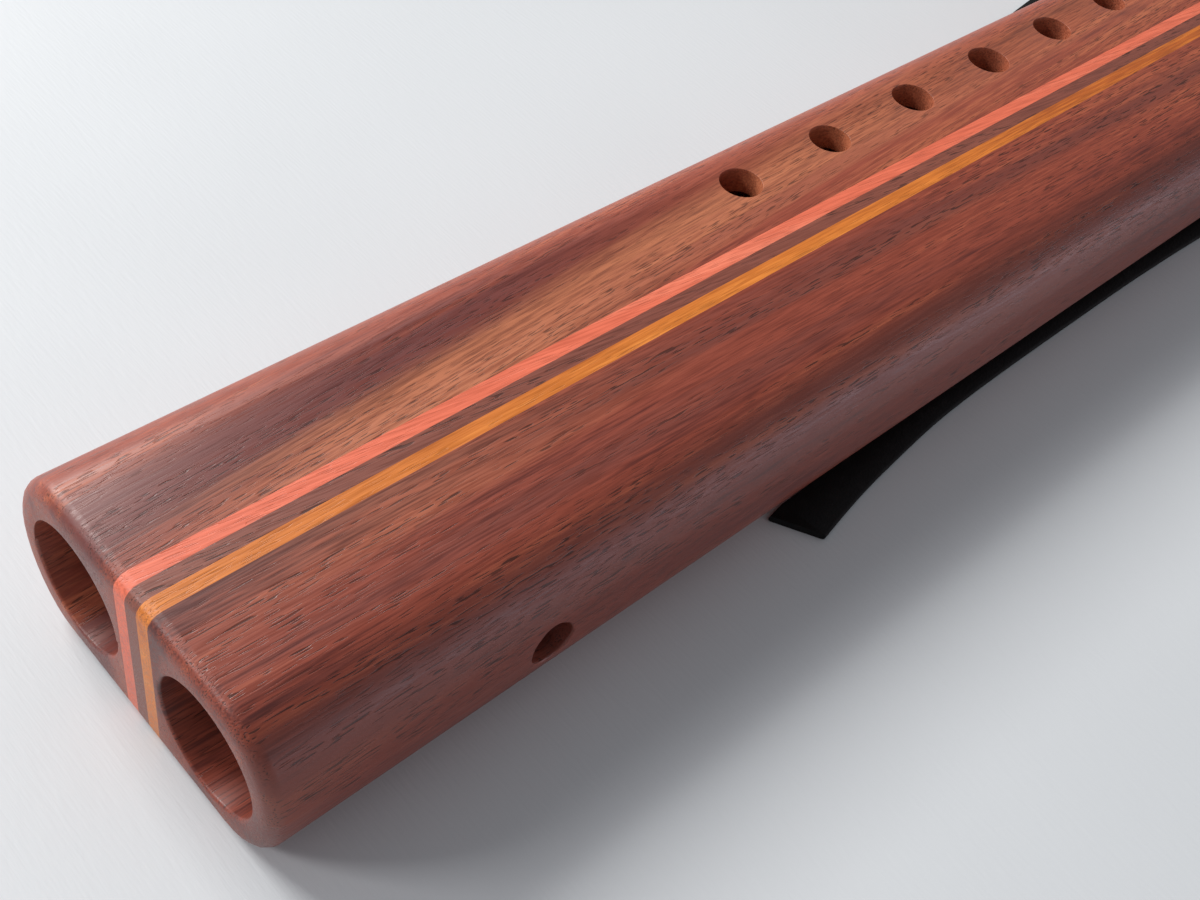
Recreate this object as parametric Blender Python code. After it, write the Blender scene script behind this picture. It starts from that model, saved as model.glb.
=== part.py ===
"""A Native American style double flute: a melody chamber and a drone chamber side by side in one body.

The body is glued up from two thick staves with three thin strips between them, split at mid height.
The head holds the two plugs, the flue plate, the two sliding blocks, the mouthpiece and the leather lace.
Units are metres, +X runs from the foot to the mouth, +Y is the melody side and +Z is up.
The origin is on the table, under the middle of the flute.
"""

import math

import bmesh
import bpy
from mathutils import Vector

# Fits
GAP = 0.0003  # clearance where two pieces touch
GLUE_LINE = 0.0001  # thickness of a glue line between two pieces of wood

# Section of the body, from the middle outwards
DARK_STRIP = 0.0028
ROSE_STRIP = 0.0028
AMBER_STRIP = 0.0028
INNER_WALL = 0.0012  # wood between a strip and the bore beside it
BORE = 0.0222
OUTER_WALL = 0.0049  # wood outside a bore, at mid height
TOP_WALL = 0.0049  # wood over and under a bore
SIDE_ROUND = 0.0120  # how far the rounded side reaches in from the edge
FOOT_ROUND = 0.0025

# Lengths along the flute, each starting where the one before it ends
CHAMBER_LENGTH = 0.3800
SOUND_HOLE_LENGTH = 0.0060
PLUG_LENGTH = 0.0220
SLOW_CHAMBER_LENGTH = 0.1200
MOUTHPIECE_LENGTH = 0.0720

# Holes: the finger holes are (distance from the foot, diameter)
FINGER_HOLES = (
    (0.1370, 0.0084),
    (0.1626, 0.0084),
    (0.1889, 0.0089),
    (0.2152, 0.0091),
    (0.2392, 0.0087),
    (0.2622, 0.0080),
)
DRONE_HOLE_FROM_FOOT = 0.0495
DRONE_HOLE = 0.0080
FLUE_WIDTH = 0.0095
EXIT_HOLE_LENGTH = 0.0070

# Nest and flue plate
NEST_DEPTH = 0.0018
NEST_FRONT = 0.0180  # from the nest's front edge to the sound hole
NEST_BACK = 0.0080  # from the block's tail to the nest's back edge
RAMP_LENGTH = 0.0060

# Blocks
BLOCK_WIDTH = 0.0180
BLOCK_CREST = 0.0160
SADDLE_HEIGHT = 0.0090
TAIL_CREST = 0.0135
TAIL_END_HEIGHT = 0.0050
BLOCK_NOSE_HEIGHT = 0.0085
BLOCK_FRONT = 0.0240
BLOCK_TAIL = 0.0190
BLOCK_EDGE = 0.0012
CHIMNEY_DEPTH = 0.0090
CHIMNEY_WIDTH = 0.0105
BLOCK_TRAVEL = 0.0030

# Leather lace
LACE_WIDTH = 0.0060
LACE_THICKNESS = 0.0014
LACE_TURNS = 2
TURN_GAP = 0.0010
TIP_WIDTH = 0.0104
TIP_SLANT = 0.0022
KNOT_WIDTH = 0.0180
KNOT_HEIGHT = 0.0075

# Mouthpiece
NOSE_WIDTH = 0.0320
NOSE_HEIGHT = 0.0180
NOSE_LENGTH = 0.0060
NOSE_ROUND = 0.0030
BREATH_HOLE = 0.0080
FUNNEL_DEPTH = 0.0260
FUNNEL_WALL = 0.0010  # how far the funnel's mouth stays inside the bores' outer edges

# Facets
SIDE_STEPS = 8
FOOT_STEPS = 4
BORE_SIDES = 48
HOLE_SIDES = 28
EASE_STEPS = 5
MOUTH_STEPS = 10

# Worked out from the sizes above
STRIPS_HALF = DARK_STRIP / 2 + max(ROSE_STRIP, AMBER_STRIP)
BORE_Y = STRIPS_HALF + INNER_WALL + BORE / 2
HALF_WIDTH = BORE_Y + BORE / 2 + OUTER_WALL
HALF_THICKNESS = BORE / 2 + TOP_WALL
TOP_Z = 2 * HALF_THICKNESS
SOUND_HOLE_BACK = CHAMBER_LENGTH + SOUND_HOLE_LENGTH
PLUG_BACK = SOUND_HOLE_BACK + PLUG_LENGTH
STAVE_LENGTH = PLUG_BACK + SLOW_CHAMBER_LENGTH
LENGTH = STAVE_LENGTH + MOUTHPIECE_LENGTH
TURN_PITCH = LACE_WIDTH + TURN_GAP
BAND_LENGTH = LACE_TURNS * TURN_PITCH + LACE_WIDTH
SADDLE_LENGTH = BAND_LENGTH + 2 * BLOCK_TRAVEL + 2 * GAP
BLOCK_START = SOUND_HOLE_BACK - CHIMNEY_DEPTH
BLOCK_LENGTH = BLOCK_FRONT + SADDLE_LENGTH + BLOCK_TAIL
BAND_START = BLOCK_START + BLOCK_FRONT + BLOCK_TRAVEL + GAP
NEST_START = CHAMBER_LENGTH - NEST_FRONT
NEST_END = BLOCK_START + BLOCK_LENGTH + NEST_BACK
NEST_Z = TOP_Z - NEST_DEPTH
PLATE_WIDTH = 2 * BORE_Y + BLOCK_WIDTH  # flush with the outer sides of the blocks
PLATE_TOP = TOP_Z
BLOCK_Z = PLATE_TOP + GAP
GROOVE_Z = LACE_THICKNESS + 2 * GAP  # roof of the lace groove under the body

# Free tails of the lace: distance from the foot, y, z and lean, in millimetres and degrees.
# Lean 0 lies flat and 90 stands with its face turned away from the flute.
NEAR_TAIL = (
    (412.0, -9.6, 46.6, 10),
    (410.5, -16.0, 45.0, 0),
    (409.0, -22.5, 44.4, 4),
    (407.4, -28.1, 42.9, 38),
    (405.6, -31.2, 37.8, 66),
    (403.2, -33.4, 30.6, 76),
    (399.2, -35.2, 22.6, 84),
    (392.4, -36.2, 15.0, 86),
    (381.4, -36.8, 9.0, 80),
    (366.6, -36.8, 4.9, 62),
    (350.4, -36.2, 2.5, 34),
    (333.0, -35.0, 1.1, 8),
    (314.0, -33.4, 0.8, 0),
    (294.0, -31.8, 0.8, 0),
    (272.0, -30.4, 0.8, 0),
    (250.0, -29.3, 0.8, 0),
    (226.0, -28.7, 0.8, 0),
    (200.0, -28.7, 0.8, 0),
    (174.0, -28.9, 0.8, 0),
    (154.0, -29.5, 0.8, 0),
    (138.0, -30.6, 0.8, 0),
    (124.0, -31.7, 0.8, 0),
    (109.3, -33.4, 0.8, 0),
)
FAR_TAIL = (
    (417.0, 9.6, 46.6, 10),
    (418.4, 16.0, 45.0, 0),
    (419.4, 22.5, 44.4, 4),
    (419.8, 28.1, 42.9, 38),
    (419.6, 31.6, 37.8, 66),
    (418.6, 34.8, 30.6, 76),
    (416.2, 37.0, 22.6, 84),
    (411.2, 38.8, 15.0, 84),
    (402.8, 41.2, 8.8, 72),
    (390.6, 44.6, 4.6, 48),
    (375.4, 48.4, 2.1, 20),
    (358.0, 51.2, 0.9, 0),
    (338.0, 52.2, 0.8, 0),
    (317.0, 51.4, 0.8, 0),
    (296.0, 48.8, 0.8, 0),
    (274.0, 45.4, 0.8, 0),
    (250.0, 42.2, 0.8, 0),
    (226.0, 40.0, 0.8, 0),
    (200.0, 39.0, 0.8, 0),
    (176.0, 38.6, 0.8, 0),
    (156.0, 38.2, 0.8, 0),
    (140.0, 38.2, 0.8, 0),
    (126.0, 38.6, 0.8, 0),
)
TAIL_WIDTH = 0.0050  # the free stretch draws in a little and opens at its cut end
FLARE_LENGTH = 0.0560
SPAN_STEPS = 3

WOODS = {
    "redwood_brown": ((0.30, 0.085, 0.045), 0.42),
    "rose_wood": ((0.80, 0.22, 0.10), 0.42),
    "dark_wood": ((0.19, 0.055, 0.040), 0.42),
    "amber_wood": ((0.78, 0.30, 0.045), 0.42),
}


def along(distance):
    """The X of a place that is this far from the foot."""
    return distance - LENGTH / 2


def clear_scene():
    for obj in list(bpy.data.objects):
        bpy.data.objects.remove(obj, do_unlink=True)


def principled(name, colour, roughness, metallic=0.0):
    """A plain Principled material."""
    mat = bpy.data.materials.new(name)
    mat.use_nodes = True
    shader = mat.node_tree.nodes["Principled BSDF"]
    shader.inputs["Base Color"].default_value = (*colour, 1.0)
    shader.inputs["Roughness"].default_value = roughness
    shader.inputs["Metallic"].default_value = metallic
    return mat


def wood(name):
    colour, roughness = WOODS[name]
    return principled(name, colour, roughness)


def leather(name):
    return principled(name, (0.012, 0.011, 0.011), 0.7)


def place(name, bm, material=None, sharp=35):
    """Turns a bmesh into a named object. One without a material is a cutter."""
    bmesh.ops.recalc_face_normals(bm, faces=bm.faces)
    mesh = bpy.data.meshes.new(name)
    bm.to_mesh(mesh)
    bm.free()
    mesh.shade_smooth()
    mesh.set_sharp_from_angle(angle=math.radians(sharp))
    obj = bpy.data.objects.new(name, mesh)
    bpy.context.scene.collection.objects.link(obj)
    if material is None:
        obj.hide_render = True
        obj.display_type = "WIRE"
    else:
        mesh.materials.append(material)
    return obj


def cut(obj, *cutters):
    """Takes each cutter out of the object with an exact Boolean."""
    for cutter in cutters:
        mod = obj.modifiers.new(cutter.name, "BOOLEAN")
        mod.operation = "DIFFERENCE"
        mod.solver = "EXACT"
        mod.object = cutter
    return obj


def oval(flat, side, height, steps=SIDE_STEPS):
    """The (y, z) points of a flat oval: flat top and bottom, each side half an ellipse."""
    points = []
    for quarter in range(4):
        centre = flat if quarter in (0, 3) else -flat
        for i in range(steps + 1):
            if quarter in (2, 3) and i == (0 if quarter == 2 else steps):
                continue
            angle = (quarter + i / steps) * math.pi / 2
            points.append((centre + side * math.cos(angle), height * math.sin(angle)))
    return points


def loft(rings, z=HALF_THICKNESS):
    """A closed skin through rings of (x, points), with flat ends."""
    bm = bmesh.new()
    loops = [[bm.verts.new((x, y, z + h)) for y, h in points] for x, points in rings]
    for first, second in zip(loops, loops[1:]):
        count = len(first)
        for i in range(count):
            j = (i + 1) % count
            bm.faces.new((first[i], first[j], second[j], second[i]))
    bm.faces.new(loops[0])
    bm.faces.new(loops[-1])
    bmesh.ops.recalc_face_normals(bm, faces=bm.faces)
    return bm


def add_box(bm, low, high):
    size = [b - a for a, b in zip(low, high)]
    centre = [(a + b) / 2 for a, b in zip(low, high)]
    made = bmesh.ops.create_cube(bm, size=1.0)
    bmesh.ops.scale(bm, vec=size, verts=made["verts"])
    bmesh.ops.translate(bm, vec=centre, verts=made["verts"])


def add_cylinder(bm, start, end, radius, sides):
    """A capped cylinder between two points."""
    axis = Vector(end) - Vector(start)
    turn = axis.to_track_quat("Z", "Y").to_matrix().to_4x4()
    made = bmesh.ops.create_cone(
        bm, cap_ends=True, segments=sides, radius1=radius, radius2=radius, depth=axis.length
    )
    bmesh.ops.transform(bm, matrix=turn, verts=made["verts"])
    bmesh.ops.translate(bm, vec=(Vector(start) + Vector(end)) / 2, verts=made["verts"])


def body_section(inset=0.0):
    flat = HALF_WIDTH - SIDE_ROUND
    return oval(flat, SIDE_ROUND - inset, HALF_THICKNESS - inset)


def body_blank():
    """The whole outside of the glued body, rounded at the foot and cut square at the mouthpiece."""
    rings = []
    for i in range(FOOT_STEPS + 1):
        angle = i / FOOT_STEPS * math.pi / 2
        inset = FOOT_ROUND * (1 - math.sin(angle))
        rings.append((along(FOOT_ROUND * (1 - math.cos(angle))), body_section(inset)))
    rings.append((along(STAVE_LENGTH - GLUE_LINE / 2), body_section()))
    return loft(rings)


def keep_side(bm, point, normal):
    """Cuts the mesh at a plane, drops what is in front of it and closes the cut."""
    everything = bm.verts[:] + bm.edges[:] + bm.faces[:]
    result = bmesh.ops.bisect_plane(
        bm, geom=everything, plane_co=point, plane_no=normal, dist=1e-7, clear_outer=True
    )
    edges = [e for e in result["geom_cut"] if isinstance(e, bmesh.types.BMEdge)]
    bmesh.ops.holes_fill(bm, edges=edges)


def lamination(name, low_y, high_y, upper, material):
    """One board of the body: the blank between two upright glue lines, above or below mid height."""
    bm = body_blank()
    half = GLUE_LINE / 2
    if low_y is not None:
        keep_side(bm, (0, low_y + half, 0), (0, -1, 0))
    if high_y is not None:
        keep_side(bm, (0, high_y - half, 0), (0, 1, 0))
    sign = 1 if upper else -1
    keep_side(bm, (0, 0, HALF_THICKNESS + sign * half), (0, 0, -sign))
    return place(name, bm, material)


def bore_cutter():
    """Both bores, right through from the foot to the mouthpiece."""
    bm = bmesh.new()
    for y in (BORE_Y, -BORE_Y):
        start = (along(-FOOT_ROUND), y, HALF_THICKNESS)
        end = (along(STAVE_LENGTH + FOOT_ROUND), y, HALF_THICKNESS)
        add_cylinder(bm, start, end, BORE / 2, BORE_SIDES)
    return place("bore_cutter", bm)


def finger_hole_cutter():
    bm = bmesh.new()
    for distance, diameter in FINGER_HOLES:
        x = along(distance)
        start = (x, BORE_Y, HALF_THICKNESS)
        end = (x, BORE_Y, TOP_Z + TOP_WALL)
        add_cylinder(bm, start, end, diameter / 2, HOLE_SIDES)
    return place("finger_hole_cutter", bm)


def drone_hole_cutter():
    """The tuning hole in the near side of the drone chamber."""
    bm = bmesh.new()
    x = along(DRONE_HOLE_FROM_FOOT)
    start = (x, -BORE_Y, HALF_THICKNESS)
    end = (x, -HALF_WIDTH - OUTER_WALL, HALF_THICKNESS)
    add_cylinder(bm, start, end, DRONE_HOLE / 2, HOLE_SIDES)
    return place("drone_hole_cutter", bm)


def nest_cutter():
    """The flat nest across the top, where the flue plate lies."""
    bm = bmesh.new()
    low = (along(NEST_START), -2 * HALF_WIDTH, NEST_Z)
    high = (along(NEST_END), 2 * HALF_WIDTH, TOP_Z + TOP_WALL)
    add_box(bm, low, high)
    return place("nest_cutter", bm)


def air_hole_cutter():
    """The sound hole in front of each plug and the exit hole behind it."""
    bm = bmesh.new()
    for y in (BORE_Y, -BORE_Y):
        for start, end in ((CHAMBER_LENGTH, SOUND_HOLE_BACK), (PLUG_BACK, PLUG_BACK + EXIT_HOLE_LENGTH)):
            low = (along(start), y - FLUE_WIDTH / 2, HALF_THICKNESS)
            high = (along(end), y + FLUE_WIDTH / 2, TOP_Z + TOP_WALL)
            add_box(bm, low, high)
    return place("air_hole_cutter", bm)


def groove_cutter():
    """The shallow groove under the body that the lace runs in, so that the flute lies flat."""
    bm = bmesh.new()
    low = (along(BAND_START - 2 * GAP), -2 * HALF_WIDTH, -TOP_WALL)
    high = (along(BAND_START + BAND_LENGTH + 2 * GAP), 2 * HALF_WIDTH, GROOVE_Z)
    add_box(bm, low, high)
    return place("groove_cutter", bm)


def build_body():
    """Ten boards: five above mid height and five below."""
    middle = DARK_STRIP / 2
    brown, rose = wood("redwood_brown"), wood("rose_wood")
    dark, amber = wood("dark_wood"), wood("amber_wood")
    boards = (
        ("melody_stave", middle + ROSE_STRIP, None, brown),
        ("rose_strip", middle, middle + ROSE_STRIP, rose),
        ("dark_strip", -middle, middle, dark),
        ("amber_strip", -middle - AMBER_STRIP, -middle, amber),
        ("drone_stave", None, -middle - AMBER_STRIP, brown),
    )
    bores, air_holes = bore_cutter(), air_hole_cutter()
    nest, groove = nest_cutter(), groove_cutter()
    finger_holes, drone_hole = finger_hole_cutter(), drone_hole_cutter()
    for board, low_y, high_y, material in boards:
        upper = lamination("upper_" + board, low_y, high_y, True, material)
        lower = lamination("lower_" + board, low_y, high_y, False, material)
        cut(upper, nest)
        cut(lower, groove)
        if board.endswith("stave"):
            cut(upper, bores, air_holes)
            cut(lower, bores)
        if board == "melody_stave":
            cut(upper, finger_holes)
        if board == "drone_stave":
            cut(upper, drone_hole)
            cut(lower, drone_hole)


def build_plugs():
    """The plug in each bore, between the sound chamber and the slow air chamber."""
    material = wood("dark_wood")
    for name, y in (("melody_plug", BORE_Y), ("drone_plug", -BORE_Y)):
        bm = bmesh.new()
        start = (along(SOUND_HOLE_BACK), y, HALF_THICKNESS)
        end = (along(PLUG_BACK), y, HALF_THICKNESS)
        add_cylinder(bm, start, end, BORE / 2 - GAP, BORE_SIDES)
        place(name, bm, material)


def build_flue_plate():
    """The thin plate in the nest, with one slot over each flue and a ramp at each splitting edge."""
    bm = bmesh.new()
    low = (along(NEST_START + GAP), -PLATE_WIDTH / 2, NEST_Z + GAP)
    high = (along(NEST_END - GAP), PLATE_WIDTH / 2, PLATE_TOP)
    add_box(bm, low, high)
    plate = place("flue_plate", bm, wood("amber_wood"))
    bm = bmesh.new()
    for y in (BORE_Y, -BORE_Y):
        low = (along(CHAMBER_LENGTH), y - FLUE_WIDTH / 2, HALF_THICKNESS)
        high = (along(PLUG_BACK + EXIT_HOLE_LENGTH), y + FLUE_WIDTH / 2, TOP_Z + TOP_WALL)
        add_box(bm, low, high)
    slots = place("flue_slot_cutter", bm)
    bm = bmesh.new()
    edge_z = NEST_Z + 2 * GAP
    slope = (PLATE_TOP - edge_z) / RAMP_LENGTH
    over = FLUE_WIDTH / 4
    for y in (BORE_Y, -BORE_Y):
        side = (
            (along(CHAMBER_LENGTH - RAMP_LENGTH) - over, PLATE_TOP + slope * over),
            (along(CHAMBER_LENGTH) + over, edge_z - slope * over),
            (along(CHAMBER_LENGTH) + over, PLATE_TOP + slope * over),
        )
        add_prism(bm, side, y - FLUE_WIDTH / 2, y + FLUE_WIDTH / 2)
    ramps = place("ramp_cutter", bm)
    cut(plate, slots, ramps)


def add_prism(bm, side, low_y, high_y):
    """Extrudes an (x, z) outline across the flute."""
    near = [bm.verts.new((x, low_y, z)) for x, z in side]
    far = [bm.verts.new((x, high_y, z)) for x, z in side]
    count = len(side)
    for i in range(count):
        j = (i + 1) % count
        bm.faces.new((near[i], near[j], far[j], far[i]))
    bm.faces.new(near[::-1])
    bm.faces.new(far)


def block_outline():
    """The block seen from the side: a crest at the front, a saddle for the lace and a low tail."""
    saddle_end = BLOCK_FRONT + SADDLE_LENGTH
    knots = (
        (0.0, BLOCK_NOSE_HEIGHT),
        (BLOCK_FRONT / 2, BLOCK_CREST),
        (BLOCK_FRONT, SADDLE_HEIGHT),
        (saddle_end, SADDLE_HEIGHT),
        (saddle_end + BLOCK_TAIL * 0.4, TAIL_CREST),
        (saddle_end + BLOCK_TAIL, TAIL_END_HEIGHT),
    )
    outline = [knots[0]]
    for (x0, z0), (x1, z1) in zip(knots, knots[1:]):
        steps = 1 if z0 == z1 else EASE_STEPS
        for i in range(1, steps + 1):
            share = i / steps
            ease = 0.5 - 0.5 * math.cos(math.pi * share)
            outline.append((x0 + (x1 - x0) * share, z0 + (z1 - z0) * ease))
    outline += [(BLOCK_LENGTH, 0.0), (0.0, 0.0)]
    return [(along(BLOCK_START) + x, BLOCK_Z + z) for x, z in outline]


def build_blocks():
    """The two blocks that cover the flues. Each slides along the flute under the lace."""
    material = wood("dark_wood")
    bm = bmesh.new()
    for y in (BORE_Y, -BORE_Y):
        low = (along(BLOCK_START) - CHIMNEY_DEPTH, y - CHIMNEY_WIDTH / 2, BLOCK_Z - TOP_WALL)
        high = (along(SOUND_HOLE_BACK), y + CHIMNEY_WIDTH / 2, BLOCK_Z + 2 * BLOCK_CREST)
        add_box(bm, low, high)
    chimneys = place("chimney_cutter", bm)
    for name, y in (("melody_block", BORE_Y), ("drone_block", -BORE_Y)):
        bm = bmesh.new()
        add_prism(bm, block_outline(), y - BLOCK_WIDTH / 2, y + BLOCK_WIDTH / 2)
        bmesh.ops.recalc_face_normals(bm, faces=bm.faces)
        rim = [
            e
            for e in bm.edges
            if abs(e.verts[0].co.y - e.verts[1].co.y) < 1e-7 and max(v.co.z for v in e.verts) > BLOCK_Z + 1e-6
        ]
        bmesh.ops.bevel(bm, geom=rim, offset=BLOCK_EDGE, segments=2, profile=0.6, affect="EDGES")
        cut(place(name, bm, material, sharp=40), chimneys)


def hull(points):
    """The convex outline round points in a plane, anticlockwise."""
    points = sorted(set(points))

    def half(run):
        out = []
        for p in run:
            while len(out) > 1 and turn(out[-2], out[-1], p) <= 1e-12:
                out.pop()
            out.append(p)
        return out[:-1]

    return half(points) + half(points[::-1])


def turn(a, b, c):
    return (b[0] - a[0]) * (c[1] - a[1]) - (b[1] - a[1]) * (c[0] - a[0])


def lace_loop():
    """The (y, z) middle line of the lace pulled tight round blocks and body, from the top middle."""
    corner_y = BORE_Y + BLOCK_WIDTH / 2
    held = [(sign * corner_y, BLOCK_Z + SADDLE_HEIGHT) for sign in (1, -1)]
    held += [(y, z + HALF_THICKNESS) for y, z in body_section() if z + HALF_THICKNESS >= GROOVE_Z]
    share = 1 - GROOVE_Z / HALF_THICKNESS
    groove_y = HALF_WIDTH - SIDE_ROUND * (1 - math.sqrt(1 - share * share))
    held += [(sign * groove_y, GROOVE_Z) for sign in (1, -1)]
    away = GAP + LACE_THICKNESS / 2
    around = [(i + 0.5) * math.pi / 6 for i in range(12)]
    grown = [(y + away * math.cos(a) * 1.04, z + away * math.sin(a) * 1.04) for y, z in held for a in around]
    loop = hull([(round(y, 7), round(z, 7)) for y, z in grown])
    top = max(z for y, z in loop)
    tops = [i for i, (y, z) in enumerate(loop) if z > top - 1e-6]
    last = max(tops, key=lambda i: loop[i][0])
    ordered = loop[last:] + loop[:last]
    after = next(i for i, (y, z) in enumerate(ordered) if y < 0)
    return [(0.0, top)] + ordered[after:] + ordered[:after] + [(0.0, top)]


def sweep(name, centres, sides, faces, widths, material):
    """A flat strip: centres, the direction across it, its face direction and its width at each point."""
    bm = bmesh.new()
    rings = []
    for centre, side, face, width in zip(centres, sides, faces, widths):
        ring = []
        for across, up in ((-1, -1), (1, -1), (1, 1), (-1, 1)):
            offset = side * (across * width / 2) + face * (up * LACE_THICKNESS / 2)
            ring.append(bm.verts.new(centre + offset))
        rings.append(ring)
    for first, second in zip(rings, rings[1:]):
        for i in range(4):
            j = (i + 1) % 4
            bm.faces.new((first[i], first[j], second[j], second[i]))
    bm.faces.new(rings[0])
    bm.faces.new(rings[-1])
    return place(name, bm, material, sharp=60)


def build_binding(material):
    """The lace's turns round blocks and body, as one unbroken strip with its ends under the knot."""
    loop = lace_loop()
    steps = [math.dist(a, b) for a, b in zip(loop, loop[1:])]
    whole = sum(steps)
    start = BAND_START + LACE_WIDTH / 2
    centres, normals = [], []
    for lap in range(LACE_TURNS):
        gone = 0.0
        for i, (y, z) in enumerate(loop):
            if lap == 0 or i > 0:
                before = loop[i - 1] if i > 0 else loop[-2]
                after = loop[i + 1] if i + 1 < len(loop) else loop[1]
                run = Vector((0, after[0] - before[0], after[1] - before[1])).normalized()
                centres.append(Vector((along(start + TURN_PITCH * (lap + gone / whole)), y, z)))
                normals.append(Vector((0, -run.z, run.y)))
            if i < len(steps):
                gone += steps[i]
    middle = Vector((0, 0, HALF_THICKNESS))
    faces = [n if n.dot(Vector((0, c.y, c.z)) - middle) > 0 else -n for n, c in zip(normals, centres)]
    sides = [Vector((1, 0, 0))] * len(centres)
    sweep("lace_binding", centres, sides, faces, [LACE_WIDTH] * len(centres), material)
    per_turn = len(loop) - 1
    least = min(
        (centres[i + per_turn] - centres[i]).length - LACE_WIDTH for i in range(len(centres) - per_turn)
    )
    print(f"least gap between the turns of the lace: {least * 1000:.2f} mm")


def smooth_route(points):
    """Reads a smooth curve through the route's own points."""
    out = []
    padded = [points[0], *points, points[-1]]
    for i in range(len(points) - 1):
        p0, p1, p2, p3 = (Vector(p) for p in padded[i : i + 4])
        for k in range(SPAN_STEPS):
            t = k / SPAN_STEPS
            flow = (p2 - p0) * t + (2 * p0 - 5 * p1 + 4 * p2 - p3) * t**2
            out.append(p1 + (flow + (3 * p1 - p0 - 3 * p2 + p3) * t**3) / 2)
    out.append(Vector(points[-1]))
    return out


def build_tail(name, route, slant, material):
    """A free end of the lace, from the knot over a block and down to the table."""
    outward = 1 if route[0][1] > 0 else -1
    rows = smooth_route(route)
    centres = [Vector((along(x / 1000), y / 1000, z / 1000)) for x, y, z, lean in rows]
    sides, faces, widths = [], [], []
    left = sum((b - a).length for a, b in zip(centres, centres[1:]))
    length = left
    for i, (row, centre) in enumerate(zip(rows, centres)):
        before, after = centres[max(i - 1, 0)], centres[min(i + 1, len(centres) - 1)]
        run = (after - before).normalized()
        lean = math.radians(row[3])
        up = Vector((0, outward * math.sin(lean), math.cos(lean)))
        side = run.cross(up).normalized()
        sides.append(side)
        faces.append(side.cross(run).normalized())
        share = max(0.0, 1 - left / FLARE_LENGTH)
        widths.append(TAIL_WIDTH + (TIP_WIDTH - TAIL_WIDTH) * share * share)
        if i + 1 < len(centres):
            left -= (centres[i + 1] - centre).length
    sides[-1] = (sides[-1] + (centres[-1] - centres[-2]).normalized() * slant / TIP_WIDTH * 2).normalized()
    sweep(name, centres, sides, faces, widths, material)
    print(f"{name}: {length * 1000:.0f} mm long")


def build_knot(material):
    """The knot that lies on the turns, between the crests of the blocks."""
    bm = bmesh.new()
    bmesh.ops.create_uvsphere(bm, u_segments=20, v_segments=12, radius=0.5)
    size = (BAND_LENGTH - 2 * GAP, KNOT_WIDTH, KNOT_HEIGHT)
    for v in bm.verts:
        for k in range(3):
            v.co[k] = math.copysign(abs(2 * v.co[k]) ** 0.75, v.co[k]) * size[k] / 2
    seat = lace_loop()[0][1] + LACE_THICKNESS / 2 + GAP
    centre = (along(BAND_START + BAND_LENGTH / 2), 0, seat + KNOT_HEIGHT / 2)
    bmesh.ops.translate(bm, vec=centre, verts=bm.verts)
    place("lace_knot", bm, material)


def build_lace():
    material = leather("black_leather")
    build_binding(material)
    build_knot(material)
    build_tail("near_lace_tail", NEAR_TAIL, TIP_SLANT, material)
    build_tail("far_lace_tail", FAR_TAIL, TIP_SLANT, material)


def build_mouthpiece():
    """The tapered mouthpiece, with a breath hole that opens into a funnel over both slow air chambers."""
    joint = STAVE_LENGTH + GLUE_LINE / 2
    flat = HALF_WIDTH - SIDE_ROUND
    nose = (NOSE_WIDTH / 2 - NOSE_HEIGHT / 2, NOSE_HEIGHT / 2, NOSE_HEIGHT / 2)
    taper = LENGTH - NOSE_LENGTH - joint
    rings = []
    for i in range(MOUTH_STEPS + 1):
        share = i / MOUTH_STEPS
        ease = 0.5 - 0.5 * math.cos(math.pi * share)
        body = (flat, SIDE_ROUND, HALF_THICKNESS)
        size = [a + (b - a) * ease for a, b in zip(body, nose)]
        rings.append((along(joint + taper * share), oval(*size)))
    for i in range(FOOT_STEPS + 1):
        angle = i / FOOT_STEPS * math.pi / 2
        inset = NOSE_ROUND * (1 - math.cos(angle))
        x = LENGTH - NOSE_ROUND * (1 - math.sin(angle))
        rings.append((along(x), oval(nose[0], nose[1] - inset, nose[2] - inset)))
    piece = place("mouthpiece", loft(rings), wood("dark_wood"))

    radius = BREATH_HOLE / 2
    wide = BORE_Y + BORE / 2 - FUNNEL_WALL
    high = BORE / 2 - FUNNEL_WALL
    mouth = oval(wide - high, high, high)
    throat = oval(radius / 8, radius * 7 / 8, radius)
    rings = [
        (along(joint - FUNNEL_WALL), mouth),
        (along(joint + FUNNEL_WALL), mouth),
        (along(joint + FUNNEL_DEPTH), throat),
        (along(LENGTH + NOSE_ROUND), throat),
    ]
    cut(piece, place("funnel_cutter", loft(rings)))


def build():
    clear_scene()
    build_body()
    build_plugs()
    build_flue_plate()
    build_blocks()
    build_lace()
    build_mouthpiece()


build()
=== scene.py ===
# %% [markdown]
# A wooden double flute lies on a pale table. Two long chambers share one flat oval body: the melody
# chamber has six finger holes, and the drone chamber has one tuning hole in its side.
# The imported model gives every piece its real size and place, so we load it first and measure it.

# %% Frame
import math

import bmesh
import bpy
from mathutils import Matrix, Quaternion, Vector


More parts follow.
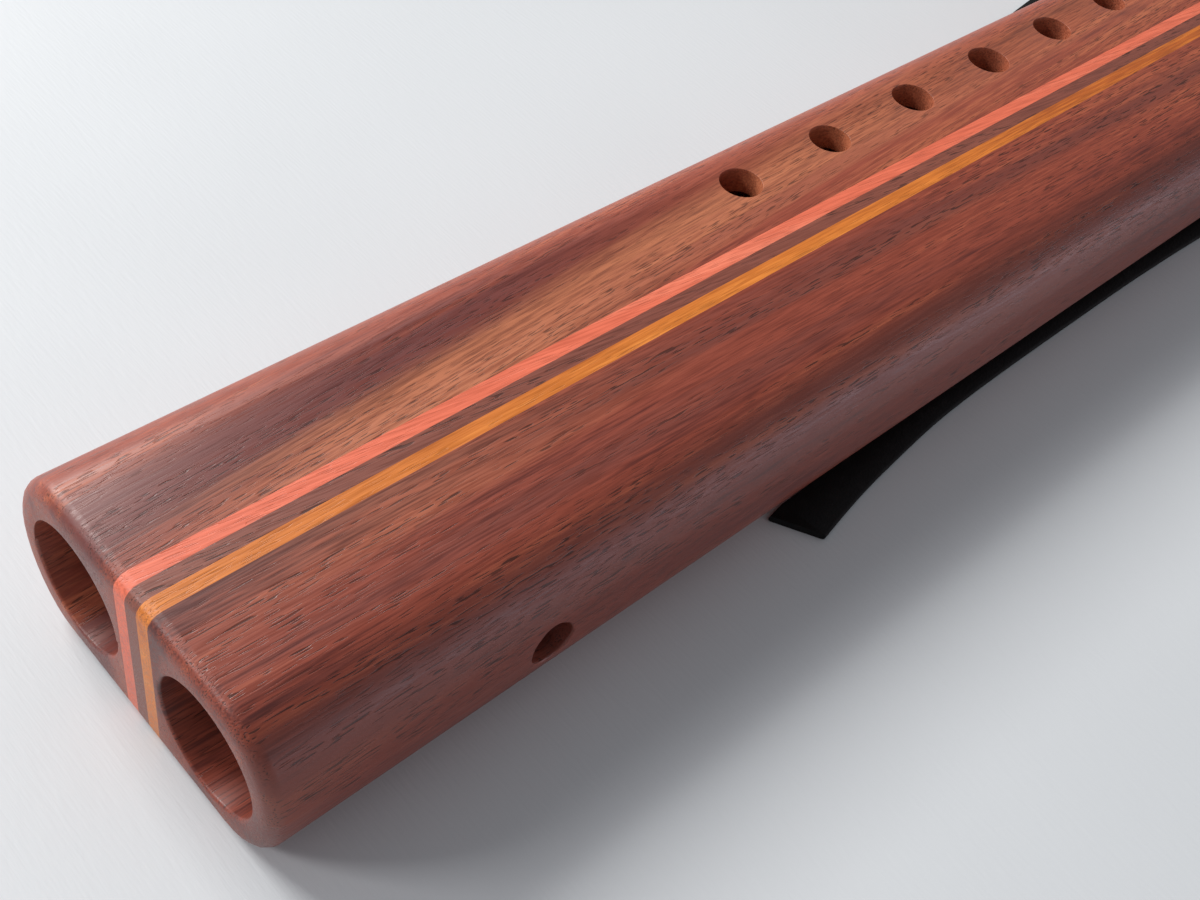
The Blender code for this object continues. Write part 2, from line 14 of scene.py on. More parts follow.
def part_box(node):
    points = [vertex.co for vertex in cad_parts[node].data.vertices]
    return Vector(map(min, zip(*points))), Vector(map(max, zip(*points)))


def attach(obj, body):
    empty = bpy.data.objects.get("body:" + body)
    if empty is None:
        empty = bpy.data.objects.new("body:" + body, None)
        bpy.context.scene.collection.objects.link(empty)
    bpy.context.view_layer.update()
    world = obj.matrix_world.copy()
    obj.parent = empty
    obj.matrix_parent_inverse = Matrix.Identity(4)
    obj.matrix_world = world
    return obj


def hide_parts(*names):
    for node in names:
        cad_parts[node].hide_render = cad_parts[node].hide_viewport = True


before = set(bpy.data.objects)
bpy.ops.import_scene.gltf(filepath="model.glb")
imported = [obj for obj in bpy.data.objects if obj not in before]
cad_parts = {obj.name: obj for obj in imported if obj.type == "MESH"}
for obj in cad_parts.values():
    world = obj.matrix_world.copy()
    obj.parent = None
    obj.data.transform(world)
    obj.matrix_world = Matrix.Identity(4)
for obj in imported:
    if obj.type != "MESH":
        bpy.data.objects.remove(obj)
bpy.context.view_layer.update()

MM = 0.001
FOOT_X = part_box("upper_melody_stave")[0][0]

# %% [markdown]
# The camera stands close over the open foot and looks along the flute, a little rolled.
# A point to look at and a roll angle say that more clearly than a matrix would.

# %% Camera
EYE = Vector((-0.3528, -0.1108, 0.2002))
AIM = Vector((-0.2067, 0.0009, 0.0))
ROLL = math.radians(13.22)

camera_data = bpy.data.cameras.new("camera")
camera_data.lens = 45.06
camera_data.sensor_width = 36
camera_data.clip_start = 0.01
camera = bpy.data.objects.new("camera", camera_data)
bpy.context.scene.collection.objects.link(camera)
look = (AIM - EYE).to_track_quat("-Z", "Y")
camera.location = EYE
camera.rotation_euler = (look @ Quaternion((0, 0, 1), ROLL)).to_euler()
bpy.context.scene.camera = camera
print("camera looks down at", round(math.degrees(math.asin(-(AIM - EYE).normalized().z)), 1), "degrees")

# %% [markdown]
# Shader nodes are wired in code. One helper adds a node, sets it and links its inputs, so that
# each finish below reads as a short recipe.

# %% Node helper
def add(tree, kind, inputs=None, **settings):
    """Adds a shader node. An input is a value, or another node's output socket."""
    made = tree.nodes.new(kind)
    for key, value in settings.items():
        setattr(made, key, value)
    for key, value in (inputs or {}).items():
        if isinstance(value, bpy.types.NodeSocket):
            tree.links.new(value, made.inputs[key])
        else:
            made.inputs[key].default_value = value
    return made


def calc(tree, operation, first, second):
    """Sums, differences and products of two inputs."""
    return add(tree, "ShaderNodeMath", {0: first, 1: second}, operation=operation).outputs[0]


def blend_colour(tree, share, first, second, mode="MIX"):
    """Goes from the first colour to the second as the share goes from 0 to 1."""
    mix = add(tree, "ShaderNodeMix", {0: share, 6: first, 7: second}, data_type="RGBA", blend_type=mode)
    return mix.outputs[2]


def smooth_range(tree, value, low, high, start=0.0, end=1.0):
    """Goes softly from start to end while the value goes from low to high."""
    inputs = {"Value": value, "From Min": low, "From Max": high, "To Min": start, "To Max": end}
    ranged = add(tree, "ShaderNodeMapRange", inputs, interpolation_type="SMOOTHSTEP")
    return ranged.outputs["Result"]


def new_material(name):
    """A fresh material, its node tree and its main shader."""
    material = bpy.data.materials.new(name)
    material.use_nodes = True
    return material, material.node_tree, material.node_tree.nodes["Principled BSDF"]


# %% [markdown]
# Wood is many long thin things at once: broad figure, streaks, fibres and open pores. Each is a
# noise that is squeezed along the flute, so that it draws out into lines. A picture of wood would
# need unwrapping and would repeat, but noise in space runs on through a board as real grain does.

# %% Layers of the grain
# Each layer: how far it is squeezed along the flute, its scale across it, and its detail.
FIGURE = (0.10, 75.0, 2.0)
STREAKS = (0.025, 420.0, 4.0)
FIBRES = (0.045, 2600.0, 3.0)
VESSELS = (0.075, 4300.0, 0.0)
FIGURE_SHARE, STREAK_SHARE, FIBRE_SHARE = 0.42, 0.36, 0.22
NOISE_MIDDLE = 0.5
TONE_SPREAD = 0.16


def drawn_out(tree, place, squeeze, scale, detail):
    """Noise that is stretched along the flute."""
    along = add(tree, "ShaderNodeMapping", {"Vector": place, "Scale": (squeeze, 1.0, 1.0)})
    noise = add(tree, "ShaderNodeTexNoise", {"Vector": along.outputs[0], "Scale": scale, "Detail": detail})
    return noise.outputs["Fac"]


# %% [markdown]
# A board isn't the same all over. A zone is a slanted band of darker or paler colour, mostly the
# wood's own figure, whose edge wanders with the streaks and whose two ends fade out. It could be
# painted on as a picture, but a band that a few sizes place is easier to move until it lies where the real
# one does.

# %% Zones of a board
ZONE_WANDER = 10 * MM
ZONE_START_FADE = 30 * MM
ZONE_END_FADE = 40 * MM


def zone_mask(tree, coords, wander, start, end, low, high, slope, soft):
    """1 inside a slanted band of the board, fading out over its soft edge."""
    start, end, low, high, soft = (v * MM for v in (start, end, low, high, soft))
    axes = add(tree, "ShaderNodeSeparateXYZ", {0: coords})
    x = calc(tree, "SUBTRACT", axes.outputs[0], FOOT_X)
    level = calc(tree, "SUBTRACT", axes.outputs[1], calc(tree, "MULTIPLY", x, slope))
    shift = calc(tree, "MULTIPLY", calc(tree, "SUBTRACT", wander, NOISE_MIDDLE), ZONE_WANDER)
    level = calc(tree, "ADD", level, shift)
    mask = smooth_range(tree, level, low - soft, low + soft)
    mask = calc(tree, "MULTIPLY", mask, smooth_range(tree, level, high - soft, high + soft, 1.0, 0.0))
    starts = smooth_range(tree, x, start - ZONE_START_FADE, start + ZONE_START_FADE)
    mask = calc(tree, "MULTIPLY", mask, starts)
    ends = smooth_range(tree, x, end - ZONE_END_FADE, end + ZONE_END_FADE, 1.0, 0.0)
    return calc(tree, "MULTIPLY", mask, ends)


# %% [markdown]
# The finish puts the layers together: three tones, then the zones, then the dark open pores.
# The same fibres and pores also drive the roughness and a fine relief, so that the light and the
# colour agree on where each line of the grain is.

# %% Wood finish
# Each pair gives the noise values between which a layer goes from nothing to its full effect,
# or what it does at the two ends.
ZONE_GRAIN, ZONE_GRAIN_EFFECT = (0.30, 0.62), (0.55, 1.0)
PORE_EDGE = (0.58, 0.70)
PORE_PATCHES = (0.36, 0.62)
FIBRE_RANGE, FIBRE_SHADE = (0.25, 0.75), (0.84, 1.12)
SHEEN_RANGE, SHEEN_ROUGHNESS = (0.3, 0.7), (0.34, 0.50)
FIBRE_RELIEF = 0.6


def wood(name, dark, middle, pale, slant, seed, zones=(), pores=0.6, contrast=1.0):
    """A board's finish from three tones, the slant of its grain and its zones."""
    material, tree, shader = new_material(name)
    coords = add(tree, "ShaderNodeTexCoord").outputs["Object"]
    turned = {"Vector": coords, "Location": (seed, seed / 3, seed / 5), "Rotation": (0, 0, slant)}
    place = add(tree, "ShaderNodeMapping", turned).outputs[0]
    figure = drawn_out(tree, place, *FIGURE)
    streaks = drawn_out(tree, place, *STREAKS)
    fibres = drawn_out(tree, place, *FIBRES)
    vessels = drawn_out(tree, place, *VESSELS)

    tone = calc(tree, "MULTIPLY", figure, FIGURE_SHARE)
    tone = calc(tree, "ADD", tone, calc(tree, "MULTIPLY", streaks, STREAK_SHARE))
    tone = calc(tree, "ADD", tone, calc(tree, "MULTIPLY", fibres, FIBRE_SHARE))
    spread = TONE_SPREAD / contrast
    depth = smooth_range(tree, tone, NOISE_MIDDLE - spread, NOISE_MIDDLE)
    light = smooth_range(tree, tone, NOISE_MIDDLE, NOISE_MIDDLE + spread)
    colour = blend_colour(tree, depth, (*dark, 1), (*middle, 1))
    colour = blend_colour(tree, light, colour, (*pale, 1))
    for *band, tint, strength in zones:
        mask = zone_mask(tree, coords, streaks, *band)
        grainy = smooth_range(tree, fibres, *ZONE_GRAIN, *ZONE_GRAIN_EFFECT)
        share = calc(tree, "MULTIPLY", calc(tree, "MULTIPLY", mask, grainy), strength)
        colour = blend_colour(tree, share, colour, (*tint, 1))
    open_pore = smooth_range(tree, vessels, *PORE_EDGE)
    patch = smooth_range(tree, streaks, *PORE_PATCHES)
    open_pore = calc(tree, "MULTIPLY", open_pore, patch)
    shade = calc(tree, "SUBTRACT", 1.0, calc(tree, "MULTIPLY", open_pore, pores))
    fine = smooth_range(tree, fibres, *FIBRE_RANGE, *FIBRE_SHADE)
    shade = calc(tree, "MULTIPLY", shade, fine)
    grey = add(tree, "ShaderNodeCombineColor", {0: shade, 1: shade, 2: shade}).outputs[0]
    colour = blend_colour(tree, 1.0, colour, grey, "MULTIPLY")
    tree.links.new(colour, shader.inputs["Base Color"])

    rough = smooth_range(tree, fibres, *SHEEN_RANGE, *SHEEN_ROUGHNESS)
    tree.links.new(rough, shader.inputs["Roughness"])
    relief = calc(tree, "SUBTRACT", calc(tree, "MULTIPLY", fibres, FIBRE_RELIEF), open_pore)
    bump = add(tree, "ShaderNodeBump", {"Height": relief, "Strength": 0.35, "Distance": 0.00012})
    tree.links.new(bump.outputs[0], shader.inputs["Normal"])
    return material


# %% [markdown]
# Every wood on the flute is now one call with its own colours. The melody stave has a purple
# streak at the foot and a pale orange tongue beside the rose strip. The drone stave has dark
# streaks, and painted shade darkens its rounded near side.

# %% The woods
# A zone is (start, end, low y, high y, slope, soft edge, colour, strength). Its lengths are in
# millimetres, and it starts and ends at a distance from the foot.
PURPLE = (0.105, 0.028, 0.030)
DEEP_BROWN = (0.135, 0.036, 0.028)
ORANGE_TAN = (0.500, 0.165, 0.075)
SOFT_RED = (0.330, 0.085, 0.048)

MELODY_ZONES = (
    (-60, 105, 8, 19, 0.035, 2.2, PURPLE, 0.72),
    (25, 175, -1, 9, 0.065, 3.0, ORANGE_TAN, 0.92),
    (95, 190, 3.5, 7.5, 0.030, 1.4, SOFT_RED, 0.85),
    (150, 700, 9, 24, 0.000, 4.0, ORANGE_TAN, 0.42),
)
DRONE_ZONES = (
    (20, 75, -13, -4, 0.000, 2.0, ORANGE_TAN, 0.35),
    (65, 700, -10, -5.5, -0.012, 1.8, DEEP_BROWN, 0.70),
    (30, 140, -20, -16, -0.018, 1.2, DEEP_BROWN, 0.55),
    # Painted shade: this deep brown band darkens the rounded near side, which faces the dim part of the
    # room.
    (-60, 700, -40, -25, 0.000, 3.0, DEEP_BROWN, 0.60),
)
FINISH = {
    "melody": wood(
        "melody_wood", (0.12, 0.024, 0.020), (0.300, 0.062, 0.033), (0.44, 0.116, 0.052),
        slant=math.radians(-3.2), seed=0.31, zones=MELODY_ZONES,
    ),
    "drone": wood(
        "drone_wood", (0.10, 0.019, 0.015), (0.270, 0.052, 0.027), (0.42, 0.102, 0.046),
        slant=0.02, seed=1.70, zones=DRONE_ZONES, pores=0.7,
    ),
    "rose": wood(
        "rose_wood", (0.60, 0.100, 0.050), (0.800, 0.165, 0.085), (0.88, 0.230, 0.130),
        slant=0.12, seed=2.60, pores=0.15, contrast=0.8,
    ),
    "dark": wood(
        "dark_wood", (0.13, 0.036, 0.026), (0.230, 0.066, 0.042), (0.28, 0.085, 0.052),
        slant=0.10, seed=3.30, pores=0.65, contrast=0.7,
    ),
    "amber": wood(
        "amber_wood", (0.48, 0.110, 0.014), (0.660, 0.185, 0.022), (0.76, 0.245, 0.034),
        slant=0.01, seed=4.10, pores=0.25, contrast=1.2,
    ),
    "head": wood(
        "head_wood", (0.10, 0.026, 0.020), (0.190, 0.052, 0.034), (0.27, 0.080, 0.048),
        slant=0.03, seed=5.20, pores=0.55,
    ),
}
print("finishes:", ", ".join(FINISH))

# %% [markdown]
# The lace is black leather: almost no colour, a matt surface and a fine pebble. Noise would give
# soft hills, but the cells of a Voronoi texture are rounded and packed as the grain of hide is.

# %% Leather finish
LEATHER_BLACK = (0.004, 0.0038, 0.004, 1)
LEATHER_WORN = (0.011, 0.010, 0.010, 1)
WEAR_RANGE = (0.45, 0.75)
DULL_RANGE, DULL_ROUGHNESS = (0.3, 0.7), (0.70, 0.88)


def leather(name):
    """Matt black hide with a fine pebble and paler worn patches."""
    material, tree, shader = new_material(name)
    coords = add(tree, "ShaderNodeTexCoord").outputs["Object"]
    pebble = add(tree, "ShaderNodeTexVoronoi", {"Vector": coords, "Scale": 2600.0}).outputs["Distance"]
    cloud = add(tree, "ShaderNodeTexNoise", {"Vector": coords, "Scale": 420.0, "Detail": 4.0}).outputs["Fac"]
    wear = smooth_range(tree, cloud, *WEAR_RANGE)
    colour = blend_colour(tree, wear, LEATHER_BLACK, LEATHER_WORN)
    tree.links.new(colour, shader.inputs["Base Color"])
    dull = smooth_range(tree, cloud, *DULL_RANGE, *DULL_ROUGHNESS)
    tree.links.new(dull, shader.inputs["Roughness"])
    shader.inputs["Specular IOR Level"].default_value = 0.22
    bump = add(tree, "ShaderNodeBump", {"Height": pebble, "Strength": 0.5, "Distance": 0.00015})
    tree.links.new(bump.outputs[0], shader.inputs["Normal"])
    return material


BLACK_LEATHER = leather("black_leather")
print("leather has", len(BLACK_LEATHER.node_tree.nodes), "nodes")

# %% [markdown]
# The two free ends of the lace come before the other pieces, because the model fixes their lay.
# A flat lace is a strip that turns as it goes: each point of its route has a lean, from lying
# flat to standing on edge against the side of the flute.

# %% Routes of the lace
# Distance from the foot, y, z and lean, in millimetres and degrees, as in the solids.
NEAR_TAIL = (
    (412.0, -9.6, 46.6, 10), (410.5, -16.0, 45.0, 0), (409.0, -22.5, 44.4, 4), (407.4, -28.1, 42.9, 38),
    (405.6, -31.2, 37.8, 66), (403.2, -33.4, 30.6, 76), (399.2, -35.2, 22.6, 84), (392.4, -36.2, 15.0, 86),
    (381.4, -36.8, 9.0, 80), (366.6, -36.8, 4.9, 62), (350.4, -36.2, 2.5, 34), (333.0, -35.0, 1.1, 8),
    (314.0, -33.4, 0.8, 0), (294.0, -31.8, 0.8, 0), (272.0, -30.4, 0.8, 0), (250.0, -29.3, 0.8, 0),
    (226.0, -28.7, 0.8, 0), (200.0, -28.7, 0.8, 0), (174.0, -28.9, 0.8, 0), (154.0, -29.5, 0.8, 0),
    (138.0, -30.6, 0.8, 0), (124.0, -31.7, 0.8, 0), (109.3, -33.4, 0.8, 0),
)
FAR_TAIL = (
    (417.0, 9.6, 46.6, 10), (418.4, 16.0, 45.0, 0), (419.4, 22.5, 44.4, 4), (419.8, 28.1, 42.9, 38),
    (419.6, 31.6, 37.8, 66), (418.6, 34.8, 30.6, 76), (416.2, 37.0, 22.6, 84), (411.2, 38.8, 15.0, 84),
    (402.8, 41.2, 8.8, 72), (390.6, 44.6, 4.6, 48), (375.4, 48.4, 2.1, 20), (358.0, 51.2, 0.9, 0),
    (338.0, 52.2, 0.8, 0), (317.0, 51.4, 0.8, 0), (296.0, 48.8, 0.8, 0), (274.0, 45.4, 0.8, 0),
    (250.0, 42.2, 0.8, 0), (226.0, 40.0, 0.8, 0), (200.0, 39.0, 0.8, 0), (176.0, 38.6, 0.8, 0),
    (156.0, 38.2, 0.8, 0), (140.0, 38.2, 0.8, 0), (126.0, 38.6, 0.8, 0),
)
LACE_THICKNESS = 0.0014
TAIL_WIDTH = 0.0050
TIP_WIDTH = 0.0104
FLARE_LENGTH = 0.056
TIP_SLANT = 0.0022
SPAN_STEPS = 5


def smooth_route(points):
    """Reads a smooth curve through the route's own points."""
    rows = []
    padded = [points[0], *points, points[-1]]
    for i in range(len(points) - 1):
        p0, p1, p2, p3 = (Vector(p) for p in padded[i : i + 4])
        for k in range(SPAN_STEPS):
            t = k / SPAN_STEPS
            flow = (p2 - p0) * t + (2 * p0 - 5 * p1 + 4 * p2 - p3) * t**2
            rows.append(p1 + (flow + (3 * p1 - p0 - 3 * p2 + p3) * t**3) / 2)
    rows.append(Vector(points[-1]))
    return rows


# %% [markdown]
# A strip of leather has soft edges, so its section is a flat oval and not a rectangle. A curve
# with a bevel could make one too, but it would also thicken where it widens. A loft places each
# section by itself, so the leather stays as thin at its wide cut end as elsewhere.

# %% Leather strip
EDGE_ROUND = 0.7  # how far the rounding reaches in, in half thicknesses
STRIP_MERGE = 0.000001
LACE_EDGE_ANGLE = math.radians(50)


def strip(name, centres, sides, faces, widths, closed=False, thickness=LACE_THICKNESS):
    """Lofts a flat oval section along a route."""
    bm = bmesh.new()
    half = thickness / 2
    rings = []
    for centre, side, face, width in zip(centres, sides, faces, widths):
        flat = width / 2 - half * EDGE_ROUND
        ring = []
        for quarter, sign in ((0, 1), (1, -1), (2, -1), (3, 1)):
            for k in range(3):
                angle = (quarter + k / 2) * math.pi / 2
                across = sign * flat + half * EDGE_ROUND * math.cos(angle)
                ring.append(bm.verts.new(centre + side * across + face * half * math.sin(angle)))
        rings.append(ring)
    pairs = list(zip(rings, rings[1:])) + ([(rings[-1], rings[0])] if closed else [])
    for first, second in pairs:
        for i in range(len(first)):
            j = (i + 1) % len(first)
            bm.faces.new((first[i], first[j], second[j], second[i]))
    if not closed:
        bm.faces.new(rings[0])
        bm.faces.new(rings[-1])
    bmesh.ops.remove_doubles(bm, verts=bm.verts, dist=STRIP_MERGE)
    bmesh.ops.recalc_face_normals(bm, faces=bm.faces)
    mesh = bpy.data.meshes.new(name)
    bm.to_mesh(mesh)
    bm.free()
    mesh.shade_smooth()
    mesh.set_sharp_from_angle(angle=LACE_EDGE_ANGLE)
    piece = bpy.data.objects.new(name, mesh)
    bpy.context.scene.collection.objects.link(piece)
    mesh.materials.append(BLACK_LEATHER)
    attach(piece, "flute")
    return piece


def tail(name, route, node):
    """One free end of the lace, lofted along its route, with its length printed."""
    rows = smooth_route(route)
    centres = [Vector((FOOT_X + x * MM, y * MM, z * MM)) for x, y, z, lean in rows]
    outward = 1 if route[0][1] > 0 else -1
    length = sum((b - a).length for a, b in zip(centres, centres[1:]))
    left = length
    sides, faces, widths = [], [], []
    for i, (row, centre) in enumerate(zip(rows, centres)):
        run = (centres[min(i + 1, len(centres) - 1)] - centres[max(i - 1, 0)]).normalized()
        lean = math.radians(row[3])
        side = run.cross(Vector((0, outward * math.sin(lean), math.cos(lean)))).normalized()
        sides.append(side)
        faces.append(side.cross(run).normalized())
        share = max(0.0, 1 - left / FLARE_LENGTH)
        widths.append(TAIL_WIDTH + (TIP_WIDTH - TAIL_WIDTH) * share * share)
        if i + 1 < len(centres):
            left -= (centres[i + 1] - centre).length
    onward = (centres[-1] - centres[-2]).normalized()
    sides[-1] = (sides[-1] + onward * TIP_SLANT / TIP_WIDTH * 2).normalized()
    piece = strip(name, centres, sides, faces, widths)
    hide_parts(node)
    print(name, round(length / MM), "mm")


tail("near_tail", NEAR_TAIL, "near_lace_tail")
tail("far_tail", FAR_TAIL, "far_lace_tail")

# %% [markdown]
# The knot on top of the blocks stands for an overhand knot. Its line is the trefoil, the simplest
# knot there is, pressed flat into the box of its solid. The line is closed, so it doesn't run on
# into the two free ends.

# %% Knot
KNOT_STEPS = 120
KNOT_LACE = 0.0042
KNOT_THICKNESS = LACE_THICKNESS * 1.6
KNOT_MARGIN = LACE_THICKNESS * 0.9
LOOK_AHEAD = 0.01  # radians along the knot, to find the way it runs
knot_low, knot_high = (Vector(corner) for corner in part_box("lace_knot"))
knot_middle = (knot_low + knot_high) / 2
knot_room = knot_high - knot_low
reach = (min(knot_room.x, knot_room.y) / 2 - KNOT_LACE / 2) / 3
lift = knot_room.z / 2 - KNOT_MARGIN


def knot_point(turn):
    """A point on the trefoil's line, which goes twice round while it weaves three times."""
    ring = 2 + math.cos(3 * turn)
    flat = Vector((ring * math.cos(2 * turn), ring * math.sin(2 * turn), 0)) * reach
    return knot_middle + flat + Vector((0, 0, lift * math.sin(3 * turn)))


turns = [2 * math.pi * i / KNOT_STEPS for i in range(KNOT_STEPS)]
line = [knot_point(t) for t in turns]
runs = [(knot_point(t + LOOK_AHEAD) - knot_point(t - LOOK_AHEAD)).normalized() for t in turns]
across = [run.cross(Vector((0, 0, 1))).normalized() for run in runs]
upward = [side.cross(run).normalized() for side, run in zip(across, runs)]
knot = strip("knot", line, across, upward, [KNOT_LACE] * KNOT_STEPS, True, KNOT_THICKNESS)
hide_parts("lace_knot")
print("knot", len(knot.data.polygons), "faces")

# %% [markdown]
# The solids give each board its exact shape as loose triangles. A merged copy, with its flat
# regions joined into single faces, can be shaded smooth and have its edges eased. The boards
# could be modelled again from primitives, but a copy keeps every bore and hole in its place.

# %% Merged copies
MERGE = 0.000002
FLAT_ANGLE = math.radians(0.4)
SHARP_ANGLE = math.radians(32)


def merged_copy(name, node, body, material):
    """A smooth-shaded copy of a solid, which stands for it."""
    bm = bmesh.new()
    bm.from_mesh(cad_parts[node].data)
    bmesh.ops.remove_doubles(bm, verts=bm.verts, dist=MERGE)
    bmesh.ops.dissolve_limit(bm, angle_limit=FLAT_ANGLE, verts=bm.verts, edges=bm.edges)
    bm.verts.index_update()
    points = [v.co.copy() for v in bm.verts]
    faces = [[v.index for v in face.verts] for face in bm.faces]
    bm.free()
    mesh = bpy.data.meshes.new(name)
    mesh.from_pydata(points, [], faces)
    mesh.update()
    piece = bpy.data.objects.new(name, mesh)
    bpy.context.scene.collection.objects.link(piece)
    mesh.materials.append(material)
    mesh.shade_smooth()
    mesh.set_sharp_from_angle(angle=SHARP_ANGLE)
    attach(piece, body)
    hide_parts(node)
    return piece


def ease(piece, wanted, width, segments=3):
    """Rounds the edges that wanted(edge) picks, with the bevel operator in edit mode."""
    bpy.ops.object.select_all(action="DESELECT")
    bpy.context.view_layer.objects.active = piece
    piece.select_set(True)
    bpy.ops.object.mode_set(mode="EDIT")
    bpy.ops.mesh.select_mode(type="EDGE")
    bpy.ops.mesh.select_all(action="DESELECT")
    bm = bmesh.from_edit_mesh(piece.data)
    picked = [edge for edge in bm.edges if wanted(edge)]
    for edge in picked:
        edge.select = True
    bmesh.update_edit_mesh(piece.data)
    if picked:
        bpy.ops.mesh.bevel(offset=width, segments=segments, profile=0.5, clamp_overlap=True)
    bpy.ops.object.mode_set(mode="OBJECT")
    piece.select_set(False)
    piece.data.shade_smooth()
    piece.data.set_sharp_from_angle(angle=SHARP_ANGLE)
    print(piece.name, "has", len(picked), "eased edges")


# %% [markdown]
# The body is ten boards. The model leaves 0.1 mm between them for glue, which a real joint
# doesn't show, so each copy grows by half of that at its glue faces.

# %% Body boards
BOARDS = ("melody_stave", "rose_strip", "dark_strip", "amber_strip", "drone_stave")
TOP_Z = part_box("upper_rose_strip")[1][2]
MIDDLE_Z = TOP_Z / 2
BORE_Y = (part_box("melody_plug")[0][1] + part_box("melody_plug")[1][1]) / 2
GLUE_REACH = 0.000075  # between half the width of a glue line and all of it
glue_planes = []
for board, beside in zip(BOARDS, BOARDS[1:]):
    glue_planes.append((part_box("upper_" + board)[0][1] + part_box("upper_" + beside)[1][1]) / 2)


def close_glue_lines(piece):
    """Moves the faces that are glued onto the middle of their glue line."""
    for vertex in piece.data.vertices:
        for plane in glue_planes:
            if abs(vertex.co.y - plane) < GLUE_REACH:
                vertex.co.y = plane
        if abs(vertex.co.z - MIDDLE_Z) < GLUE_REACH:
            vertex.co.z = MIDDLE_Z


# %% [markdown]
# A maker sands the rim of every hole until it is soft under the finger. A bevel modifier that
# goes by angle would round the glued edges too, so the rims are picked by their place: a sharp
# edge on top near the melody bore's line, on the near side at the tuning hole, or on the end
# round a bore.

# %% Eased rims
BORE_RADIUS = 0.0111
HOLE_REACH = 0.0050
TOP_REACH = 0.0006
MOUTH_REACH = 0.0004
NEAR_SIDE_Y = -0.031
DRONE_HOLE_X = FOOT_X + 0.0495
RIM_EASE = 0.0005
RIM_ANGLE = math.radians(40)


def is_hole_rim(edge):
    """The sharp edges round a finger hole, the tuning hole or the mouth of a bore."""
    if len(edge.link_faces) != 2 or edge.calc_face_angle(0) < RIM_ANGLE:
        return False
    middle = (edge.verts[0].co + edge.verts[1].co) / 2
    finger = middle.z > TOP_Z - TOP_REACH and abs(middle.y - BORE_Y) < HOLE_REACH and middle.x < 0
    beside_hole = abs(middle.x - DRONE_HOLE_X) < HOLE_REACH and abs(middle.z - MIDDLE_Z) < HOLE_REACH
    tuning = beside_hole and middle.y < NEAR_SIDE_Y
    bore = math.hypot(abs(middle.y) - BORE_Y, middle.z - MIDDLE_Z)
    mouth = middle.x < FOOT_X + MOUTH_REACH and abs(bore - BORE_RADIUS) < MOUTH_REACH
    return finger or tuning or mouth


for board in BOARDS:
    wood_name = board.split("_")[0]
    finish = FINISH[wood_name]
    for half in ("upper_", "lower_"):
        name = half + wood_name + "_board"
        piece = merged_copy(name, half + board, "flute", finish)
        close_glue_lines(piece)
        if board.endswith("stave"):
            ease(piece, is_hole_rim, RIM_EASE)

# %% [markdown]
# The head has the plugs, the flue plate, the mouthpiece and the two blocks. The blocks ride on
# bodies of their own, because each slides along the flute.

# %% Head
HEAD = (
    ("melody_stopper", "melody_plug", "flute", "dark_wood", "dark"),
    ("drone_stopper", "drone_plug", "flute", "dark_wood", "dark"),
    ("plate", "flue_plate", "flute", "amber_wood", "amber"),
    ("mouth_end", "mouthpiece", "flute", "mouthpiece_wood", "head"),
    ("melody_slider", "melody_block", "melody_block", "block_wood", "head"),
    ("drone_slider", "drone_block", "drone_block", "block_wood", "head"),
)
for name, node, body, slot, finish in HEAD:
    merged_copy(name, node, body, FINISH[finish])
print("head has", len(HEAD), "pieces")

# %% [markdown]
# The lace's turns hold the blocks down. Leather has no hard corner, so their edges are eased.

# %% Turns of the lace
LACE_EASE = 0.0004
lace_turns = merged_copy("lace_turns", "lace_binding", "flute", BLACK_LEATHER)
ease(lace_turns, lambda edge: edge.calc_face_angle(0) > LACE_EDGE_ANGLE, LACE_EASE, 2)

# %% [markdown]
# The table is a pale painted board with a faint brushed texture. A plane is enough for it,
# because only its top shows.

# %% Table
TABLE_SIZE = 8
PAINT_DARK = (0.69, 0.72, 0.74, 1)
PAINT_LIGHT = (0.71, 0.74, 0.76, 1)
CLOUD_RANGE = (0.35, 0.65)


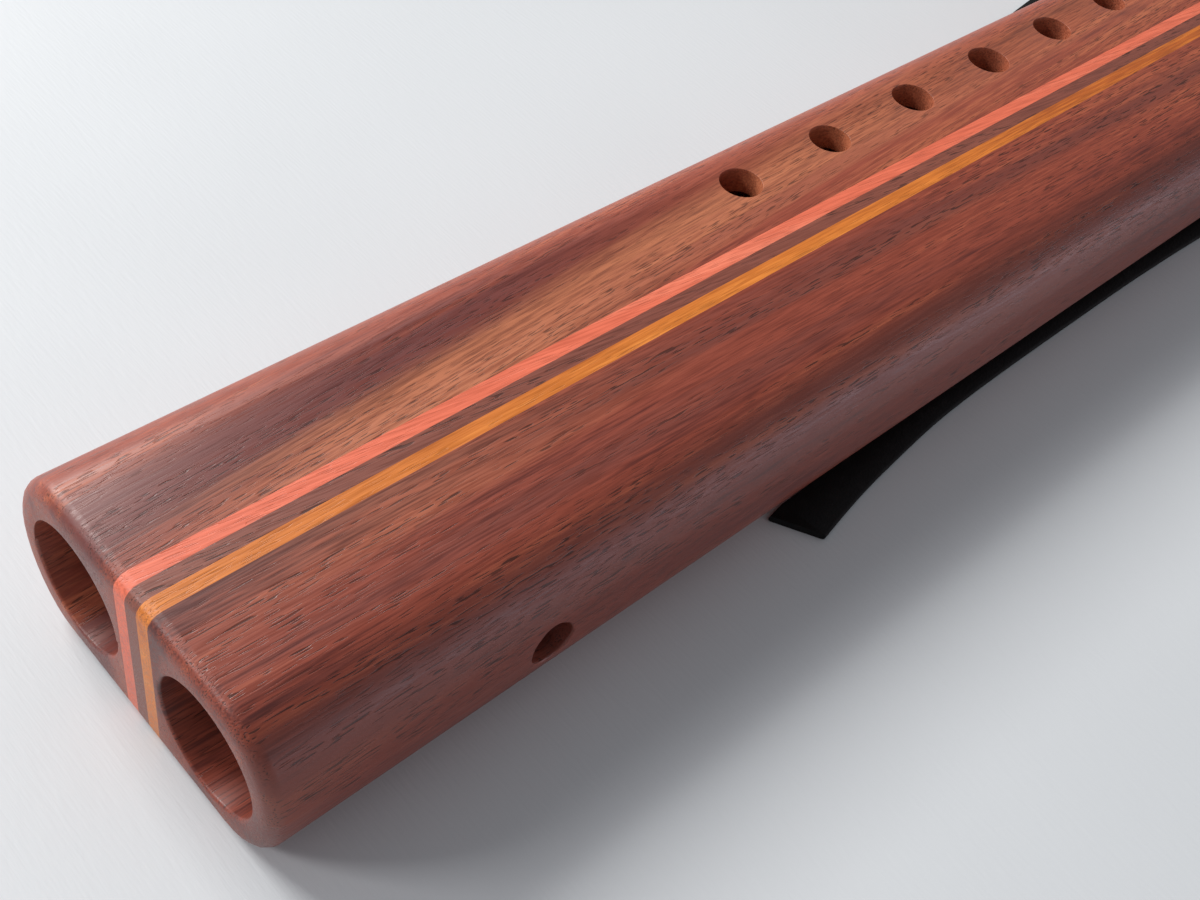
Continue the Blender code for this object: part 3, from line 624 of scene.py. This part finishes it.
def table_finish():
    """Pale paint, with soft clouds of colour and fine strokes of the brush as relief."""
    material, tree, shader = new_material("table_paint")
    coords = add(tree, "ShaderNodeTexCoord").outputs["Object"]
    clouds = {"Vector": coords, "Scale": 9.0, "Detail": 3.0}
    cloud = add(tree, "ShaderNodeTexNoise", clouds).outputs["Fac"]
    brush = add(tree, "ShaderNodeMapping", {"Vector": coords, "Scale": (1.0, 0.12, 1.0)}).outputs[0]
    hairs = {"Vector": brush, "Scale": 1500.0, "Detail": 3.0}
    strokes = add(tree, "ShaderNodeTexNoise", hairs).outputs["Fac"]
    colour = blend_colour(tree, smooth_range(tree, cloud, *CLOUD_RANGE), PAINT_DARK, PAINT_LIGHT)
    tree.links.new(colour, shader.inputs["Base Color"])
    shader.inputs["Roughness"].default_value = 0.6
    bump = add(tree, "ShaderNodeBump", {"Height": strokes, "Strength": 0.25, "Distance": 0.0002})
    tree.links.new(bump.outputs[0], shader.inputs["Normal"])
    return material


bpy.ops.object.select_all(action="DESELECT")
bpy.ops.mesh.primitive_plane_add(size=TABLE_SIZE, location=(0, 0, 0))
table_top = bpy.context.active_object
table_top.name = "table_top"
table_top.data.materials.append(table_finish())
print("table is", TABLE_SIZE, "m wide")

# %% [markdown]
# Light comes mostly from one large window beyond the flute, so that the shadow falls towards us.
# A small window at the foot catches the rounded edge, and a low pale wall on our side gives the
# near side its sheen. Rectangular lamps throw the soft-edged shadows that windows do.

# %% Light
def window(name, place, aim, size, energy, tint):
    """A soft rectangular light that faces a point."""
    data = bpy.data.lights.new(name, "AREA")
    data.shape = "RECTANGLE"
    data.size, data.size_y = size
    data.energy = energy
    data.color = tint
    lamp = bpy.data.objects.new(name, data)
    lamp.location = place
    lamp.rotation_euler = (Vector(aim) - Vector(place)).to_track_quat("-Z", "Y").to_euler()
    bpy.context.scene.collection.objects.link(lamp)


window(
    "far_window", place=(-0.45, 1.35, 1.05), aim=(-0.15, 0, 0),
    size=(0.9, 0.6), energy=32, tint=(1.0, 0.985, 0.97),
)
window(
    "foot_window", place=(-1.20, 0.62, 0.78), aim=(-0.30, 0, 0),
    size=(0.30, 0.22), energy=5.0, tint=(1.0, 0.97, 0.98),
)
window(
    "near_wall", place=(0.45, -1.25, 0.14), aim=(-0.10, 0, 0.02),
    size=(1.4, 0.20), energy=3.6, tint=(0.93, 0.86, 1.0),
)
print("lamps:", len(bpy.data.lights))

# %% [markdown]
# The rest of the room adds a weak, slightly blue light from all sides, which fills the shadow.

# %% Room
world = bpy.data.worlds.new("room")
world.use_nodes = True
room = world.node_tree.nodes["Background"]
room.inputs["Color"].default_value = (0.93, 0.95, 1.0, 1)
room.inputs["Strength"].default_value = 0.27
bpy.context.scene.world = world
bpy.context.scene.view_settings.view_transform = "Standard"
